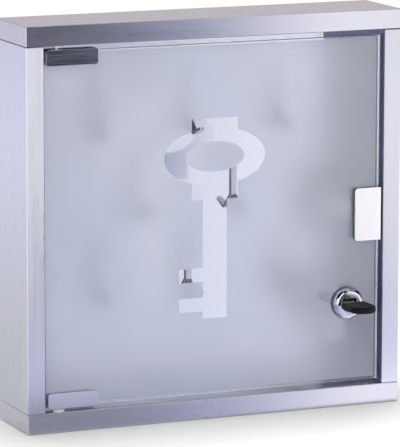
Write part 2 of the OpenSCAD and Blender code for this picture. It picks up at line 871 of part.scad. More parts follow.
// Flat blade with cuts along one edge; its tang runs into the bow
module key_blade() {
    half_w = blade_w / 2;
    shoulder_y = glass_y0 - bezel_h - 0.8;
    shoulder_reach = 1.2;
    bevel = 2;
    // The cuts' middles lie just off the edge; each cut is one of three sizes
    cut_off = 0.3;
    cut_least = 1.6;
    cut_step = 0.5;
    groove_x = [-1.2, 0.4];
    groove_t = 0.4;
    color([0.78, 0.76, 0.7])
        translate([lock_x, 0, lock_z])
            difference() {
                union() {
                    translate([0, 0, -blade_t / 2])
                        linear_extrude(blade_t)
                            polygon([[-half_w, bow_y1 - TANG_L], [half_w, bow_y1 - TANG_L],
                                [half_w, blade_tip_y - bevel], [half_w - bevel, blade_tip_y],
                                [-half_w + bevel, blade_tip_y], [-half_w, blade_tip_y - bevel]]);
                    box([-half_w - shoulder_reach, bow_y1, -blade_t / 2],
                        [half_w + shoulder_reach, shoulder_y, blade_t / 2]);
                }
                for (k = [0:wafer_count - 1])
                    let (a = cut_least + cut_step * (k % 3))
                        translate([half_w + cut_off,
                            glass_y0 - wafer_first_l - wafer_t / 2 + k * wafer_pitch, 0])
                            rotate(45)
                                cube([a, a, 2 * blade_t], center = true);
                // Shallow groove along the blade's upper face
                box([groove_x[0], shoulder_y + bevel, blade_t / 2 - groove_t],
                    [groove_x[1], blade_tip_y + CUT, blade_t]);
            }
}

// Bow with square shoulders at the lock and a round outer end, moulded over the tang
module key_bow() {
    half_w = bow_w / 2;
    half_t = bow_t / 2;
    bow_y0 = bow_y1 - bow_l;
    outer_r = bow_w * 0.45;
    shoulder_r = 1.6;
    edge = 1;
    rim = bow_t * 0.45;
    color([0.06, 0.06, 0.07])
        translate([lock_x, 0, lock_z])
            difference() {
                intersection() {
                    translate([0, 0, -half_t])
                        linear_extrude(bow_t)
                            polygon(rounded_outline([-half_w, bow_y0], [half_w, bow_y1],
                                [shoulder_r, shoulder_r, outer_r, outer_r], 12));
                    along_x(-half_w, half_w)
                        polygon(rounded_outline([bow_y0, -half_t], [bow_y1, half_t],
                            [edge, rim, rim, edge]));
                    along_y(bow_y0, bow_y1)
                        polygon(rounded_outline([-half_w, -half_t], [half_w, half_t],
                            [edge, edge, edge, edge]));
                }
                box([-blade_w / 2, bow_y1 - TANG_L, -blade_t / 2],
                    [blade_w / 2, bow_y1 + CUT, blade_t / 2]);
            }
}

// The latch's two screw places on the side member's inner face, looking into the member
module latch_screw_places() {
    for (side = [-1, 1])
        translate([inner_x, ear_y + EAR_L / 2, latch_z + side * (latch_h / 2 + EAR_REACH / 2)])
            rotate([0, 90, 0])
                children();
}

// Puts what is drawn along +Z on the latch's axis, counted to the rear from a place
module on_latch(y) {
    translate([latch_x, y, latch_z])
        rotate([-90, 0, 0])
            children();
}

// Housing with a stepped bore, open at the rear, and an ear above and below
module latch_housing() {
    half_h = latch_h / 2;
    edge = 0.8;
    color([0.9, 0.9, 0.9])
        difference() {
            union() {
                rounded_block([inner_x - latch_w, latch_y0, latch_z - half_h],
                    [inner_x, latch_y1 - latch_wall, latch_z + half_h], edge);
                box([inner_x - EAR_T, ear_y, latch_z - half_h - EAR_REACH],
                    [inner_x, ear_y + EAR_L, latch_z + half_h + EAR_REACH]);
            }
            on_latch(latch_y0 - CUT)
                cylinder(r = plunger_r + plunger_fit, h = latch_wall + 2 * CUT);
            on_latch(latch_y0 + latch_wall)
                cylinder(r = collar_r + plunger_fit, h = latch_l);
            latch_screw_places()
                translate([0, 0, -EAR_T - CUT])
                    cylinder(r = screw_r, h = EAR_T + 2 * CUT);
        }
}

module latch_cap() {
    half_h = latch_h / 2;
    edge = 0.6;
    color([0.82, 0.82, 0.82])
        union() {
            rounded_block([inner_x - latch_w, latch_y1 - latch_wall, latch_z - half_h],
                [inner_x, latch_y1, latch_z + half_h], edge);
            on_latch(latch_y1 - latch_wall - CAP_PLUG_L)
                cylinder(r = collar_r + plunger_fit, h = CAP_PLUG_L + latch_wall / 2);
        }
}

// Stem with a pocket for the magnet, and a hollow collar for the spring
module latch_plunger() {
    pocket_l = magnet_t - MAGNET_PROUD;
    spring_room = 0.3;
    color([0.95, 0.95, 0.93])
        difference() {
            union() {
                on_latch(plunger_y)
                    cylinder(r = plunger_r, h = collar_y - plunger_y + COLLAR_FLOOR / 2);
                on_latch(collar_y)
                    cylinder(r = collar_r, h = collar_l);
            }
            on_latch(plunger_y - CUT)
                cylinder(r = magnet_r, h = pocket_l + CUT);
            on_latch(spring_y0)
                cylinder(r = coil_r + wire_r + spring_room, h = collar_l);
        }
}

module latch_magnet() {
    color([0.4, 0.41, 0.44])
        on_latch(tip_y)
            cylinder(r = magnet_r, h = magnet_t);
}

// A coil of round wire: rings of points along a helix, joined into one closed tube
module latch_spring() {
    sides = 6;
    per_turn = 14;
    rings = coil_turns * per_turn;
    play = 0.05;
    length = latch_y1 - latch_wall - CAP_PLUG_L - spring_y0 - 2 * (wire_r + play);
    points = [
        for (i = [0:rings], k = [0:sides - 1])
            let (a = 360 * i / per_turn, b = 360 * k / sides, r = coil_r + wire_r * cos(b))
                [r * cos(a), r * sin(a), length * i / rings + wire_r * sin(b)]
    ];
    walls = [
        for (i = [0:rings - 1], k = [0:sides - 1])
            let (n = (k + 1) % sides, p = i * sides)
                each [[p + k, p + sides + k, p + sides + n], [p + k, p + sides + n, p + n]]
    ];
    first = [for (k = [1:sides - 2]) [0, k, k + 1]];
    last = [for (k = [1:sides - 2]) [rings * sides, rings * sides + k + 1, rings * sides + k]];
    color([0.6, 0.6, 0.62])
        on_latch(spring_y0 + wire_r + play)
            polyhedron(points, concat(walls, first, last));
}

module latch_screws() {
    head_r = screw_r * 1.9;
    crown_r = head_r * 0.6;
    rim_z = -EAR_T - 0.8;
    crown_z = -EAR_T - 1.6;
    tip_z = 7;
    taper_z = 5;
    color([0.6, 0.6, 0.62])
        latch_screw_places()
            rotate_extrude($fn = 32)
                polygon([[0, tip_z], [screw_r, taper_z], [screw_r, -EAR_T], [head_r, -EAR_T],
                    [head_r, rim_z], [crown_r, crown_z], [0, crown_z]]);
}

top_rail();
bottom_rail();
left_side();
right_side();
back_panel();
for (i = [0:len(hook_spots) - 1])
    hook(hook_spots[i]);
glass_pane();
frost_film();
at_edge(true) clamp();  // top_clamp
at_edge(true) liner();  // top_liner
at_edge(true) pressure_plate();  // top_pressure_plate
at_edge(true) clamp_screws();  // top_clamp_screws
at_edge(true) pivot_pin();  // top_pivot_pin
top_bush();
at_edge(false) clamp();  // bottom_clamp
at_edge(false) liner();  // bottom_liner
at_edge(false) pressure_plate();  // bottom_pressure_plate
at_edge(false) clamp_screws();  // bottom_clamp_screws
at_edge(false) pivot_pin();  // bottom_pivot_pin
bottom_bush();
strike_plate();
strike_pad();
lock_body();
lock_gasket();
lock_washer();
lock_nut();
lock_plug();
lock_wafers();
cam();
cam_screw();
key_blade();
key_bow();
latch_housing();
latch_cap();
latch_plunger();
latch_magnet();
latch_spring();
latch_screws();
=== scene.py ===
"""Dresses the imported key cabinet: finishes for its steel, glass, chrome and plastic, bent hooks,
a wound spring, softened fittings, a moulded key bow, and a pale studio stage. Laid out as an add-on,
run as a script."""

import math

import bmesh
import bpy
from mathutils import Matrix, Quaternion, Vector


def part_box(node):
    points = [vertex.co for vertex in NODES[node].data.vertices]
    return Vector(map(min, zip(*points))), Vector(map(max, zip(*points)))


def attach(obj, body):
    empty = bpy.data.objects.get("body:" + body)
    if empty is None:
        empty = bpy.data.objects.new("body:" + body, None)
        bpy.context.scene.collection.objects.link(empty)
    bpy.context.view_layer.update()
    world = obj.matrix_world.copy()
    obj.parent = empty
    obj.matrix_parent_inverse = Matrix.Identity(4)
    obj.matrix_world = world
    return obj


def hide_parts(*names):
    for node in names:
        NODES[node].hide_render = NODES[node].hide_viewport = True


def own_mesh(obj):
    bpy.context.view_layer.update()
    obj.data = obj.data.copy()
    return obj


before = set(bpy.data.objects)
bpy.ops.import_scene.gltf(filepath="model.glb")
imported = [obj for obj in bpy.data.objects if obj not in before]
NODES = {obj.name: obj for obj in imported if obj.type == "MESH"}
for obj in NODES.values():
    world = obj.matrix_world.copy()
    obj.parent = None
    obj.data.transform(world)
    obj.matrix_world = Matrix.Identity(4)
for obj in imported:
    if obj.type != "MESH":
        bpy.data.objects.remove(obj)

bl_info = {
    "name": "Wall Key Cabinet",
    "version": (1, 0, 0),
    "blender": (4, 5, 0),
    "location": "View3D > Sidebar > Key Cabinet",
    "description": "Dresses a wall key cabinet with a frosted glass door and sets its studio stage",
    "category": "Object",
}

# Sizes of the CAD parts that their finished pieces follow, in metres
HOOK_STRIP = 0.002  # thickness
HOOK_FOOT = 0.001  # from the lowest edge of a hook up to the low point of its strip's middle
HOOK_LOW = (0, -0.0135, -0.0115)  # the low point, from where the shank meets the bend
HOOK_TIP_DROP = 0.0061
SPRING_WIRE = 0.00035  # radius
GROUND_EDGE = 0.00045  # how far the ground edge of the glass reaches in

# The view and what it mirrors, in metres and degrees
VIEW_CENTRE = Vector((-0.0118, -0.0253, 0.1471))
VIEW_ANGLES = (23.281, 9.972, 0.1)  # yaw, pitch and roll
LAMP_TARGET = Vector((0, 0, 0.15))
LOCK_FACE = Vector((0.1095, -0.035, 0.078))
CASE_FOOT = (0.15, 0.03)  # half the case's width and depth
CARD_FRONT = -1.33
CARD_SLANT = 0.43  # the tangent of the yaw
CARD_SPREAD = 0.366  # one over the camera's distance
CARD_STRENGTH = 1.9  # makes up for what the glass and frost take


def linear(code):
    """An sRGB hex colour as the linear values that Blender works with."""
    values = [int(code[i:i + 2], 16) / 255 for i in (1, 3, 5)]
    return tuple(v / 12.92 if v <= 0.04045 else ((v + 0.055) / 1.055) ** 2.4 for v in values)


def add_node(tree, kind, feeds=None, **settings):
    """Adds a node with its settings; feeds gives its sockets a value or another node's output."""
    node = tree.nodes.new(kind)
    for name, value in settings.items():
        setattr(node, name, value)
    for key, value in (feeds or {}).items():
        socket = node.inputs[key]
        if isinstance(value, bpy.types.NodeSocket):
            tree.links.new(value, socket)
        elif socket.type == "RGBA" and len(value) == 3:
            socket.default_value = (*value, 1)
        else:
            socket.default_value = value
    return node


# Sizes and colours that a user would change

class CabinetSteel(bpy.types.PropertyGroup):
    """Finishes of the case, the back panel and the hooks"""

    case_colour: bpy.props.FloatVectorProperty(
        name="Case colour", description="Colour of the brushed stainless sheet",
        subtype="COLOR", min=0, max=1, default=linear("#D2D4E0"))
    case_roughness: bpy.props.FloatProperty(
        name="Case roughness", description="Roughness of the brushed sheet",
        min=0.1, max=0.6, default=0.3)
    brush_width: bpy.props.FloatProperty(
        name="Brush line width",
        description="Distance between brush lines, coarser than the real 0.1 mm so that they show",
        subtype="DISTANCE", unit="LENGTH", min=0.0001, max=0.002, default=0.0007)
    brush_length: bpy.props.FloatProperty(
        name="Brush line length", description="Length of one brush line",
        subtype="DISTANCE", unit="LENGTH", min=0.005, max=0.2, default=0.012)
    # The inner colour is painted shade: the dull inner side darkened as if in the shade of the fold
    shaded_inner_colour: bpy.props.FloatVectorProperty(
        name="Inner colour", description="Colour of the sheet's dull inner side, dark in the fold",
        subtype="COLOR", min=0, max=1, default=linear("#5E667C"))
    panel_colour: bpy.props.FloatVectorProperty(
        name="Panel colour", description="Colour of the bright back panel",
        subtype="COLOR", min=0, max=1, default=linear("#FAFAFC"))
    hook_bend: bpy.props.FloatProperty(
        name="Hook bend radius", description="Radius of a hook's bends, to the middle of the strip",
        subtype="DISTANCE", unit="LENGTH", min=0.001, max=0.005, default=0.0022)


class CabinetDoor(bpy.types.PropertyGroup):
    """Finishes of the glass door and what is on it"""

    glass_colour: bpy.props.FloatVectorProperty(
        name="Glass colour", description="Faint green of the float glass",
        subtype="COLOR", min=0, max=1, default=linear("#FDFEFE"))
    frost_colour: bpy.props.FloatVectorProperty(
        name="Frost colour", description="Colour of the frost on the rear of the glass",
        subtype="COLOR", min=0, max=1, default=linear("#F1F2FC"))
    frost_clear: bpy.props.FloatProperty(
        name="Frost clearness", description="Share of light that passes the frost",
        min=0, max=1, default=0.85)
    rim: bpy.props.FloatProperty(
        name="Polished rim", description="Width of the polished rim round a clamp or the strike plate",
        subtype="DISTANCE", unit="LENGTH", min=0.0001, max=0.0005, default=0.0003)
    bow_edge: bpy.props.FloatProperty(
        name="Bow edge radius", description="Radius of the edge round the key's bow",
        subtype="DISTANCE", unit="LENGTH", min=0.0005, max=0.0016, default=0.0013)


class CabinetStage(bpy.types.PropertyGroup):
    """The studio floor, the lamps and the camera"""

    floor_colour: bpy.props.FloatVectorProperty(
        name="Floor colour", description="Colour of the table that the cabinet stands on",
        subtype="COLOR", min=0, max=1, default=linear("#F2F2EC"))
    key_power: bpy.props.FloatProperty(
        name="Front lamp", description="Power of the soft lamp in front, in watts",
        min=0, max=200, default=12)
    top_power: bpy.props.FloatProperty(
        name="Top lamp", description="Power of the soft lamp above and behind, in watts",
        min=0, max=200, default=14)
    distance: bpy.props.FloatProperty(
        name="Camera distance", description="Distance from the camera to the cabinet",
        subtype="DISTANCE", unit="LENGTH", min=0.5, max=10, default=2.726)
    lens: bpy.props.FloatProperty(
        name="Lens", description="Focal length for a 36 mm sensor on the picture's long side",
        subtype="DISTANCE_CAMERA", min=20, max=1000, default=297.49)


# Materials

def new_material(name):
    material = bpy.data.materials.new(name)
    material.use_nodes = True
    material.node_tree.nodes.clear()
    return material, material.node_tree


def grain(tree, sizes, detail=2.0, rough=0.5):
    """Noise whose features measure about sizes, in metres along X, Y and Z. Returns its value."""
    place = add_node(tree, "ShaderNodeTexCoord")
    scaled = add_node(tree, "ShaderNodeMapping", {
        "Vector": place.outputs["Object"], "Scale": tuple(1 / s for s in sizes)})
    return add_node(tree, "ShaderNodeTexNoise", {
        "Vector": scaled.outputs[0], "Scale": 1.0, "Detail": detail, "Roughness": rough}).outputs[0]


def between(tree, value, low, high, start=0.3, stop=0.7):
    """The value of a pattern, spread over the range from low to high."""
    return add_node(tree, "ShaderNodeMapRange", {
        "Value": value, "From Min": start, "From Max": stop, "To Min": low, "To Max": high}).outputs[0]


def tinted(tree, value, colour, low, high, start=0.3, stop=0.7):
    """The colour, made darker or lighter by a pattern's value."""
    shade = between(tree, value, low, high, start, stop)
    return add_node(tree, "ShaderNodeVectorMath", {
        0: tuple(colour), "Scale": shade}, operation="SCALE").outputs[0]


def surface(tree, **feeds):
    """The main shader and the output; feeds are its sockets, with spaces as underscores."""
    shader = add_node(tree, "ShaderNodeBsdfPrincipled",
                      {k.replace("_", " "): v for k, v in feeds.items()})
    add_node(tree, "ShaderNodeOutputMaterial", {"Surface": shader.outputs[0]})
    return shader


def brushed_stainless(name, along, steel, inner=None):
    """Stainless sheet, belt brushed along one axis: short fine marks, a satin glow stretched across
    them, and slow changes in shade where the belt pressed harder. inner is an axis, a distance from
    the middle, nearer than which the sheet shows its dull rolled side darkened with painted shade of
    the fold, and the lightness of that painted shade."""
    material, tree = new_material(name)
    size = {a: steel.brush_length if a == along else steel.brush_width for a in "xyz"}
    lines = grain(tree, [size[a] for a in "xyz"], 3.0, 0.65)
    streaks = grain(tree, [0.09 if a == along else 0.0035 for a in "xyz"], 2.0)
    both = add_node(tree, "ShaderNodeMath", {0: lines, 1: streaks}, operation="ADD").outputs[0]
    bump = add_node(tree, "ShaderNodeBump", {"Height": lines, "Strength": 0.15, "Distance": 0.00003})
    face = add_node(tree, "ShaderNodeNewGeometry").outputs["Normal"]
    across = add_node(tree, "ShaderNodeVectorMath", {
        0: face, 1: tuple(1.0 if a == along else 0.03 for a in "xyz")}, operation="CROSS_PRODUCT")
    colour = tinted(tree, both, steel.case_colour, 0.93, 1.0, 0.75, 1.2)
    if inner:
        axis, reach, light = inner
        axes = add_node(tree, "ShaderNodeSeparateXYZ", {
            0: add_node(tree, "ShaderNodeTexCoord").outputs["Object"]}).outputs
        out = add_node(tree, "ShaderNodeMath", {0: axes[axis]}, operation="ABSOLUTE")
        share = between(tree, out.outputs[0], 0.0, 1.0, reach + 0.0002, reach + 0.0006)
        # Painted shade: near the fold the inner side takes the inner colour, scaled by its lightness
        dull = tuple(value * light for value in steel.shaded_inner_colour)
        colour = add_node(tree, "ShaderNodeMixRGB", {
            "Fac": share, "Color1": dull, "Color2": colour}).outputs[0]
    rough = between(tree, both, steel.case_roughness - 0.03, steel.case_roughness + 0.04, 0.75, 1.25)
    surface(tree, Base_Color=colour, Metallic=1.0, Roughness=rough,
            Anisotropic=0.95, Tangent=across.outputs[0], Normal=bump.outputs[0])
    return material


def bright_annealed(name, colour):
    """Bright annealed stainless: nearly a mirror on its front, with faint rolling lines and wiped
    haze. The rear, which faces the wall, is left dull as rolled."""
    material, tree = new_material(name)
    haze = grain(tree, [0.05, 0.05, 0.03], 3.0)
    lines = grain(tree, [0.0006, 0.0006, 0.05], 2.0)
    bump = add_node(tree, "ShaderNodeBump", {"Height": lines, "Strength": 0.03, "Distance": 0.00002})
    facing = add_node(tree, "ShaderNodeSeparateXYZ", {
        0: add_node(tree, "ShaderNodeTexCoord").outputs["Normal"]}).outputs["Y"]
    rear = between(tree, facing, 0.0, 1.0, 0.4, 0.6)
    shade = add_node(tree, "ShaderNodeMixRGB", {
        "Fac": rear, "Color1": tinted(tree, haze, colour, 0.96, 1.0), "Color2": linear("#9FA1A6")})
    rough = add_node(tree, "ShaderNodeMath", {
        0: rear, 1: 0.3, 2: between(tree, haze, 0.05, 0.1)}, operation="MULTIPLY_ADD")
    surface(tree, Base_Color=shade.outputs[0], Metallic=1.0, Roughness=rough.outputs[0],
            Normal=bump.outputs[0])
    return material


def plated(name, code, roughness, blotch=0.004):
    """Nickel or chrome plating on a turned or pressed part: smooth, with faint handling marks."""
    material, tree = new_material(name)
    marks = grain(tree, [blotch] * 3, 4.0, 0.6)
    surface(tree, Base_Color=tinted(tree, marks, linear(code), 0.93, 1.0), Metallic=1.0,
            Roughness=between(tree, marks, roughness, roughness + 0.07))
    return material


def sheared_painted_edges(name, code, axis, beside, along, roughness):
    """Steel cut from sheet by shears, its cut edges darkened with painted shade that stands for the
    dark room they mirror. beside and along are the shares of the colour on faces that look across
    the axis and along it."""
    material, tree = new_material(name)
    marks = grain(tree, [0.003] * 3, 4.0, 0.6)
    face = add_node(tree, "ShaderNodeSeparateXYZ", {
        0: add_node(tree, "ShaderNodeTexCoord").outputs["Normal"]}).outputs[axis]
    turned = add_node(tree, "ShaderNodeMath", {0: face}, operation="ABSOLUTE")
    # Painted shade: faces turned one way keep the colour, the cut edges are darkened
    edge = between(tree, turned.outputs[0], beside, along, 0.45, 0.75)
    colour = tinted(tree, marks, linear(code), 0.93, 1.0)
    shaded = add_node(tree, "ShaderNodeVectorMath", {0: colour, "Scale": edge}, operation="SCALE")
    surface(tree, Base_Color=shaded.outputs[0], Metallic=1.0,
            Roughness=between(tree, marks, roughness, roughness + 0.08))
    return material


def satin_plated(name, code):
    """Satin chrome on a pressed clamp: rubbed along its length, softer than the polished rim."""
    material, tree = new_material(name)
    lines = grain(tree, [0.02, 0.0004, 0.0004], 3.0)
    bump = add_node(tree, "ShaderNodeBump", {"Height": lines, "Strength": 0.08, "Distance": 0.00002})
    surface(tree, Base_Color=tinted(tree, lines, linear(code), 0.92, 1.0), Metallic=1.0,
            Roughness=between(tree, lines, 0.12, 0.2), Normal=bump.outputs[0])
    return material


def zinc_plated(name, code="#B9BBC0"):
    """Bright zinc on small steel parts: greyish, a little blotchy, half dull."""
    material, tree = new_material(name)
    blotch = grain(tree, [0.0012] * 3, 4.0, 0.7)
    bump = add_node(tree, "ShaderNodeBump", {"Height": blotch, "Strength": 0.15, "Distance": 0.00002})
    surface(tree, Base_Color=tinted(tree, blotch, linear(code), 0.85, 1.0), Metallic=1.0,
            Roughness=between(tree, blotch, 0.24, 0.42), Normal=bump.outputs[0])
    return material


def moulded(name, code, roughness, spark=0.0005, ior=1.5):
    """Injection moulded plastic: the faint spark texture of its mould and a broad sheen."""
    material, tree = new_material(name)
    texture = grain(tree, [spark] * 3, 2.0)
    slow = grain(tree, [0.006] * 3, 2.0)
    bump = add_node(tree, "ShaderNodeBump", {"Height": texture, "Strength": 0.12, "Distance": 0.00003})
    surface(tree, Base_Color=tinted(tree, slow, linear(code), 0.9, 1.0),
            Roughness=between(tree, texture, roughness - 0.04, roughness + 0.06),
            IOR=ior, Normal=bump.outputs[0])
    return material


def let_lamps_through(tree, shader, colour):
    """The output of a pane: lamps shine through in the colour, so that the inside is lit as behind
    real glass."""
    lit = add_node(tree, "ShaderNodeBsdfTransparent", {"Color": colour})
    path = add_node(tree, "ShaderNodeLightPath")
    mixed = add_node(tree, "ShaderNodeMixShader", {
        0: path.outputs["Is Shadow Ray"], 1: shader.outputs[0], 2: lit.outputs[0]})
    add_node(tree, "ShaderNodeOutputMaterial", {"Surface": mixed.outputs[0]})


def float_glass(name, colour):
    """Float glass with ground edges: clear, faintly green, and a soft grey where the wheel cut it."""
    material, tree = new_material(name)
    low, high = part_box("glass_pane")
    middle, half = (low + high) / 2, (high - low) / 2
    place = add_node(tree, "ShaderNodeTexCoord")
    centred = add_node(tree, "ShaderNodeVectorMath", {
        0: place.outputs["Object"], 1: tuple(middle)}, operation="SUBTRACT")
    reach = add_node(tree, "ShaderNodeVectorMath", {0: centred.outputs[0]}, operation="ABSOLUTE")
    axes = add_node(tree, "ShaderNodeSeparateXYZ", {0: reach.outputs[0]})
    side = add_node(tree, "ShaderNodeMath", {
        0: axes.outputs["X"], 1: half.x - GROUND_EDGE}, operation="GREATER_THAN")
    end = add_node(tree, "ShaderNodeMath", {
        0: axes.outputs["Z"], 1: half.z - GROUND_EDGE}, operation="GREATER_THAN")
    edge = add_node(tree, "ShaderNodeMath", {0: side.outputs[0], 1: end.outputs[0]}, operation="MAXIMUM")
    grit = grain(tree, [0.0003] * 3, 3.0)
    ground = add_node(tree, "ShaderNodeMath", {
        0: edge.outputs[0], 1: between(tree, grit, 0.25, 0.45)}, operation="MULTIPLY")
    shader = add_node(tree, "ShaderNodeBsdfPrincipled", {
        "Base Color": tuple(colour), "Roughness": ground.outputs[0], "IOR": 1.5,
        "Transmission Weight": 1.0})
    let_lamps_through(tree, shader, (0.9, 0.94, 0.94))
    return material


def frosted(name, colour, clear):
    """Frost film: fine grains that scatter the light, so that what is near shows as soft shade."""
    material, tree = new_material(name)
    grains = grain(tree, [0.0007] * 3, 2.0)
    slow = grain(tree, [0.06, 0.06, 0.05], 2.0)
    shader = add_node(tree, "ShaderNodeBsdfPrincipled", {
        "Base Color": tinted(tree, slow, colour, 0.96, 1.0),
        "Roughness": between(tree, grains, 0.56, 0.66), "IOR": 1.3, "Transmission Weight": clear})
    let_lamps_through(tree, shader, (0.62, 0.63, 0.67))
    return material


def cut_key_steel(name):
    """Nickel silver key blank: milled along the blade, a little yellow, with bright cuts."""
    material, tree = new_material(name)
    lines = grain(tree, [0.0003, 0.006, 0.0003], 3.0)
    bump = add_node(tree, "ShaderNodeBump", {"Height": lines, "Strength": 0.12, "Distance": 0.00002})
    surface(tree, Base_Color=tinted(tree, lines, linear("#D9D4C6"), 0.85, 1.0), Metallic=1.0,
            Roughness=between(tree, lines, 0.18, 0.32), Normal=bump.outputs[0])
    return material


# Pieces

def finish_nodes(material, *names):
    """Gives CAD nodes their material; their meshes and places stay as they are."""
    for name in names:
        slots = NODES[name].data.materials
        slots.clear()
        slots.append(material)


def new_piece(name, mesh, body, material=None, replaces=()):
    """A finished piece on its body, with its place in its mesh."""
    piece = bpy.data.objects.new(name, mesh)
    bpy.context.scene.collection.objects.link(piece)
    if material:
        mesh.materials.clear()
        mesh.materials.append(material)
    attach(piece, body)
    if replaces:
        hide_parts(*replaces)
    return piece


def evaluated_mesh(seed):
    """The plain mesh that a seed object's modifiers make; the seed goes."""
    graph = bpy.context.evaluated_depsgraph_get()
    mesh = bpy.data.meshes.new_from_object(seed.evaluated_get(graph), depsgraph=graph)
    mesh.name = seed.name
    bpy.data.objects.remove(seed)
    return mesh


def seed_object(name, mesh):
    """An object that carries modifiers until evaluated_mesh takes their result."""
    seed = bpy.data.objects.new(name + "_seed", mesh)
    bpy.context.scene.collection.objects.link(seed)
    return seed


def smooth_by_angle(mesh, degrees):
    """Smooth shading, with edges sharper than the angle kept crisp."""
    work = bmesh.new()
    work.from_mesh(mesh)
    for face in work.faces:
        face.smooth = True
    for edge in work.edges:
        edge.smooth = len(edge.link_faces) == 2 and edge.calc_face_angle(0) < math.radians(degrees)
    work.to_mesh(mesh)
    work.free()


def softened(node, width):
    """A merged copy of a CAD node with its sharp edges broken, as tumbling or polishing leaves them."""
    mesh = bpy.data.meshes.new(node + "_soft")
    work = bmesh.new()
    work.from_mesh(NODES[node].data)
    bmesh.ops.remove_doubles(work, verts=work.verts, dist=1e-6)
    bmesh.ops.dissolve_limit(work, angle_limit=math.radians(1), verts=work.verts, edges=work.edges)
    work.to_mesh(mesh)
    work.free()
    seed = seed_object(node, mesh)
    bevel = seed.modifiers.new("broken edges", "BEVEL")
    bevel.width = width
    bevel.segments = 3
    bevel.limit_method = "ANGLE"
    bevel.angle_limit = math.radians(38)
    made = evaluated_mesh(seed)
    smooth_by_angle(made, 40)
    # Normals follow the large faces, so that a flat stays even beside its rounded edge
    seed = seed_object(node, made)
    even = seed.modifiers.new("even flats", "WEIGHTED_NORMAL")
    even.keep_sharp = True
    even.weight = 100
    return evaluated_mesh(seed)


def new_tree(name, sizes):
    """A geometry tree that takes places and named sizes; returns it and its input node."""
    tree = bpy.data.node_groups.new(name, "GeometryNodeTree")
    tree.interface.new_socket("Geometry", in_out="INPUT", socket_type="NodeSocketGeometry")
    for label, value in sizes.items():
        kind = "NodeSocketVector" if hasattr(value, "__len__") else (
            "NodeSocketInt" if isinstance(value, int) else "NodeSocketFloat")
        tree.interface.new_socket(label, in_out="INPUT", socket_type=kind)
    tree.interface.new_socket("Geometry", in_out="OUTPUT", socket_type="NodeSocketGeometry")
    return tree, add_node(tree, "NodeGroupInput").outputs


def close_tree(tree, geometry, material):
    """The end of a geometry tree: one smooth mesh in one material."""
    real = add_node(tree, "GeometryNodeRealizeInstances", {0: geometry})
    smooth = add_node(tree, "GeometryNodeSetShadeSmooth", {0: real.outputs[0]})
    finished = add_node(tree, "GeometryNodeSetMaterial", {0: smooth.outputs[0], "Material": material})
    add_node(tree, "NodeGroupOutput", {0: finished.outputs[0]})


def grow(name, places, tree, sizes):
    """Puts a tree on a cloud of places with its sizes set; returns the seed object."""
    cloud = bpy.data.meshes.new(name)
    cloud.from_pydata(places, [], [])
    seed = seed_object(name, cloud)
    made = seed.modifiers.new(tree.name, "NODES")
    made.node_group = tree
    for item in tree.interface.items_tree:
        if item.in_out == "INPUT" and item.name in sizes:
            value = sizes[item.name]
            made[item.identifier] = tuple(value) if hasattr(value, "__len__") else value
    return seed


